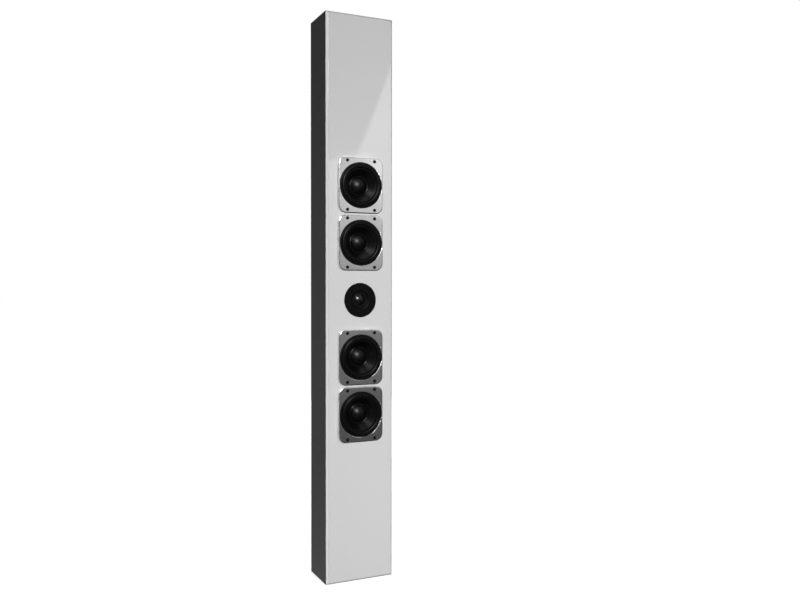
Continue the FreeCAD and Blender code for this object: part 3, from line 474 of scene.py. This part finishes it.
FLOOR_HALF = 40.0           # half its side
FLOOR_FADE = (0.3, 2.0, 0.88, 1.0)      # from this distance to that, its brightness goes from and to


def make_floor():
    """A pale floor that doesn't throw light back on the object."""
    mesh = bpy.data.meshes.new("floor")
    mesh.from_pydata([(-FLOOR_HALF, -FLOOR_HALF, 0), (FLOOR_HALF, -FLOOR_HALF, 0),
                      (FLOOR_HALF, FLOOR_HALF, 0), (-FLOOR_HALF, FLOOR_HALF, 0)], [], [(0, 1, 2, 3)])
    floor = bpy.data.objects.new("floor", mesh)
    bpy.context.scene.collection.objects.link(floor)
    material = bpy.data.materials.new("floor")
    material.use_nodes = True
    tree = material.node_tree
    shader = tree.nodes["Principled BSDF"]
    shader.inputs["Base Color"].default_value = (0.5, 0.5, 0.5, 1)
    shader.inputs["Roughness"].default_value = 0.9
    shader.inputs["Specular IOR Level"].default_value = 0.0
    shader.inputs["Emission Color"].default_value = (1, 1, 1, 1)
    length = tree.nodes.new("ShaderNodeVectorMath")
    length.operation = "LENGTH"
    tree.links.new(tree.nodes.new("ShaderNodeTexCoord").outputs["Object"], length.inputs[0])
    fade = tree.nodes.new("ShaderNodeMapRange")
    for socket, value in zip(("From Min", "From Max", "To Min", "To Max"), FLOOR_FADE):
        fade.inputs[socket].default_value = value
    tree.links.new(length.outputs["Value"], fade.inputs["Value"])
    tree.links.new(fade.outputs["Result"], shader.inputs["Emission Strength"])
    mesh.materials.append(material)
    floor.visible_diffuse = False
    floor.visible_glossy = False


# The bright card that glossy surfaces reflect, by the slopes of a ray: across is to the right and
# rise is upward, each per unit forward. Its left edge is START + SLOPE * rise + BEND * rise squared.
CARD_START = 0.3483
CARD_SLOPE = 0.5017
CARD_BEND = -0.1934
CARD_STEP = 0.06            # the edge steps this far left, low down
CARD_STEP_RISE = (0.165, 0.185)
CARD_SOFT = 0.006           # width of the edge's own blur
CARD_END = (0.8, 1.4)       # where it fades out at the right
CARD_SIDE = (0.05, 0.2)     # and toward the side
CARD_GLOW = 0.265           # brightness level with the eye
CARD_FADE = 7.6             # how fast it grows with the rise
CARD_TOP = 1.35             # brightest it gets
ROOM_LIGHT = 0.022          # the room's own light on matt surfaces
ROOM_GLOSS = 0.022          # and what gloss reflects of it
FRONT_GLOW = 0.25           # a faint broad light straight ahead
FRONT_LEFT = (-0.25, -0.1)  # across, from where to where it fades in
FRONT_RIGHT = (0.05, 0.2)   # and out
FRONT_SIDE = (0.5, 0.8)     # forward, from where to where it fades in
FLOOR_GLOW = 0.2            # the floor, reflected from the lower left
FLOOR_DOWN = (-0.5, -0.2)   # upward, from where to where it fades out
FLOOR_LEFT = (-0.4, -0.1)   # and to the right


def make_world():
    """White behind the object; for its own light a dim room, and for its reflections a dim room with
    a faint light ahead, a floor at the lower left, and a bright card at the front right that fades
    downward and ends at a curved left edge."""
    world = bpy.data.worlds.new("studio")
    bpy.context.scene.world = world
    world.use_nodes = True
    tree = world.node_tree
    tree.nodes.clear()

    def add(kind, **settings):
        node = tree.nodes.new(kind)
        for key, value in settings.items():
            setattr(node, key, value)
        return node

    def math_of(operation, *inputs):
        node = add("ShaderNodeMath", operation=operation)
        for socket, value in zip(node.inputs, inputs):
            if isinstance(value, bpy.types.NodeSocket):
                tree.links.new(value, socket)
            else:
                socket.default_value = value
        return node.outputs[0]

    def ramp(source, low, high, span):
        """A smooth step from low to high over a span of the source."""
        node = add("ShaderNodeMapRange", interpolation_type="SMOOTHSTEP")
        for socket, value in zip(("From Min", "From Max", "To Min", "To Max"), (*span, low, high)):
            node.inputs[socket].default_value = value
        tree.links.new(source, node.inputs["Value"])
        return node.outputs["Result"]

    def background(strength):
        node = add("ShaderNodeBackground")
        node.inputs["Color"].default_value = (1, 1, 1, 1)
        if isinstance(strength, bpy.types.NodeSocket):
            tree.links.new(strength, node.inputs["Strength"])
        else:
            node.inputs["Strength"].default_value = strength
        return node.outputs[0]

    def switch(flag, off, on):
        node = add("ShaderNodeMixShader")
        for socket, value in zip(node.inputs, (flag, off, on)):
            tree.links.new(value, socket)
        return node.outputs[0]

    direction = add("ShaderNodeSeparateXYZ")
    tree.links.new(add("ShaderNodeTexCoord").outputs["Generated"], direction.inputs[0])
    rays = add("ShaderNodeLightPath")
    forward = math_of("MAXIMUM", math_of("MULTIPLY", direction.outputs["Y"], -1.0), 0.02)
    across = math_of("DIVIDE", direction.outputs["X"], forward)
    rise = math_of("DIVIDE", direction.outputs["Z"], forward)
    slope = math_of("MULTIPLY_ADD", rise, CARD_BEND, CARD_SLOPE)
    edge = math_of("MULTIPLY_ADD", rise, slope, CARD_START)
    edge = math_of("SUBTRACT", edge, ramp(rise, CARD_STEP, 0.0, CARD_STEP_RISE))
    inside = ramp(math_of("SUBTRACT", across, edge), 0.0, 1.0, (0.0, CARD_SOFT))
    inside = math_of("MULTIPLY", inside, ramp(across, 1.0, 0.0, CARD_END))
    inside = math_of("MULTIPLY", inside, ramp(forward, 0.0, 1.0, CARD_SIDE))
    glow = math_of("MULTIPLY", math_of("EXPONENT", math_of("MULTIPLY", rise, CARD_FADE)), CARD_GLOW)
    glow = math_of("MINIMUM", glow, CARD_TOP)
    ahead = math_of("MULTIPLY", ramp(across, 0.0, FRONT_GLOW, FRONT_LEFT),
                    ramp(across, 1.0, 0.0, FRONT_RIGHT))
    ahead = math_of("MULTIPLY", ahead, ramp(forward, 0.0, 1.0, FRONT_SIDE))
    below = math_of("MULTIPLY", ramp(direction.outputs["Z"], FLOOR_GLOW, 0.0, FLOOR_DOWN),
                    ramp(direction.outputs["X"], 1.0, 0.0, FLOOR_LEFT))
    room = math_of("ADD", math_of("ADD", ahead, below), ROOM_GLOSS)
    glossy = math_of("MULTIPLY_ADD", glow, inside, room)
    own = switch(rays.outputs["Is Glossy Ray"], background(ROOM_LIGHT), background(glossy))
    seen = switch(rays.outputs["Is Camera Ray"], own, background(1.0))
    tree.links.new(seen, add("ShaderNodeOutputWorld").inputs["Surface"])


def add_light(name, place, target, size, power, diffuse=True, glossy=True):
    """A soft rectangular light aimed at a point, never seen by the camera."""
    data = bpy.data.lights.new(name, "AREA")
    data.shape = "RECTANGLE"
    data.size, data.size_y = size
    data.energy = power
    light = bpy.data.objects.new(name, data)
    bpy.context.scene.collection.objects.link(light)
    light.location = place
    light.rotation_euler = (Vector(target) - Vector(place)).to_track_quat("-Z", "Y").to_euler()
    light.visible_camera = False
    light.visible_diffuse = diffuse
    light.visible_glossy = glossy
    return light


def make_lights():
    """Each light either lights matt surfaces or is there to be reflected; the back one does both."""
    middle = (0, 0, 0.6)
    add_light("key", (0.35, -2.4, 0.55), (0, 0, 0.55), (0.9, 0.9), 58, glossy=False)
    add_light("floor_bounce", (0.1, -0.7, 0.05), (0, 0, 0), (0.6, 0.3), 0.6, glossy=False)
    add_light("left_low", (-1.3, 0.2, 0.3), (0, 0, 0.3), (0.5, 0.5), 0.75, glossy=False)
    add_light("left_floor", (-0.8, 0.1, 0.12), (0, 0, 0.1), (0.3, 0.2), 0.07, glossy=False)
    add_light("softbox", (-0.912, -3.553, 2.313), middle, (1.1, 1.1), 185, diffuse=False)
    add_light("window", (-1.4, -1.2, 2.7), middle, (1.0, 1.3), 24, diffuse=False)
    add_light("overhead", (-0.1, -0.2, 3.1), middle, (2.8, 1.4), 13, diffuse=False)
    add_light("left_edge_card", (-2.09, -0.925, 0.6), (-0.078, -0.045, 0.6), (0.25, 3.4), 9,
              diffuse=False)
    add_light("right_fill", (2.2, 1.2, 1.0), middle, (1.0, 1.6), 9, glossy=False)
    add_light("back_fill", (0.9, 2.4, 1.2), middle, (1.4, 1.6), 30)
    add_light("top_fill", (0.3, 0.3, 3.0), middle, (1.0, 1.0), 15, glossy=False)


AZIMUTH = math.radians(-23.65)          # of the camera from the front, to the left
ELEVATION = math.radians(0.92)
DISTANCE = 1.7441
AIM = Vector((0.0156, -0.001, 0.6074))
LENS = 35.365
SHIFT_X = 0.0524


def make_camera():
    """The camera, at the viewing angle above."""
    data = bpy.data.cameras.new("camera")
    data.lens = LENS
    data.sensor_width = 36
    data.shift_x = SHIFT_X
    data.clip_start = 0.05
    data.clip_end = 200
    camera = bpy.data.objects.new("camera", data)
    bpy.context.scene.collection.objects.link(camera)
    back = Vector((math.sin(AZIMUTH) * math.cos(ELEVATION), -math.cos(AZIMUTH) * math.cos(ELEVATION),
                   math.sin(ELEVATION)))
    camera.location = AIM + back * DISTANCE
    camera.rotation_euler = back.to_track_quat("Z", "Y").to_euler()
    bpy.context.scene.camera = camera


# ---------------------------------------------------------------- build

make_looks()
for row in frame["record"]["subparts"]:
    paint(nodes[row["node"]], row["material_slot"])
for number in WOOFERS:
    woofer_soft_parts(number)
tweeter_soft_part()
make_floor()
make_world()
make_lights()
make_camera()
bpy.context.scene.view_settings.view_transform = "Standard"
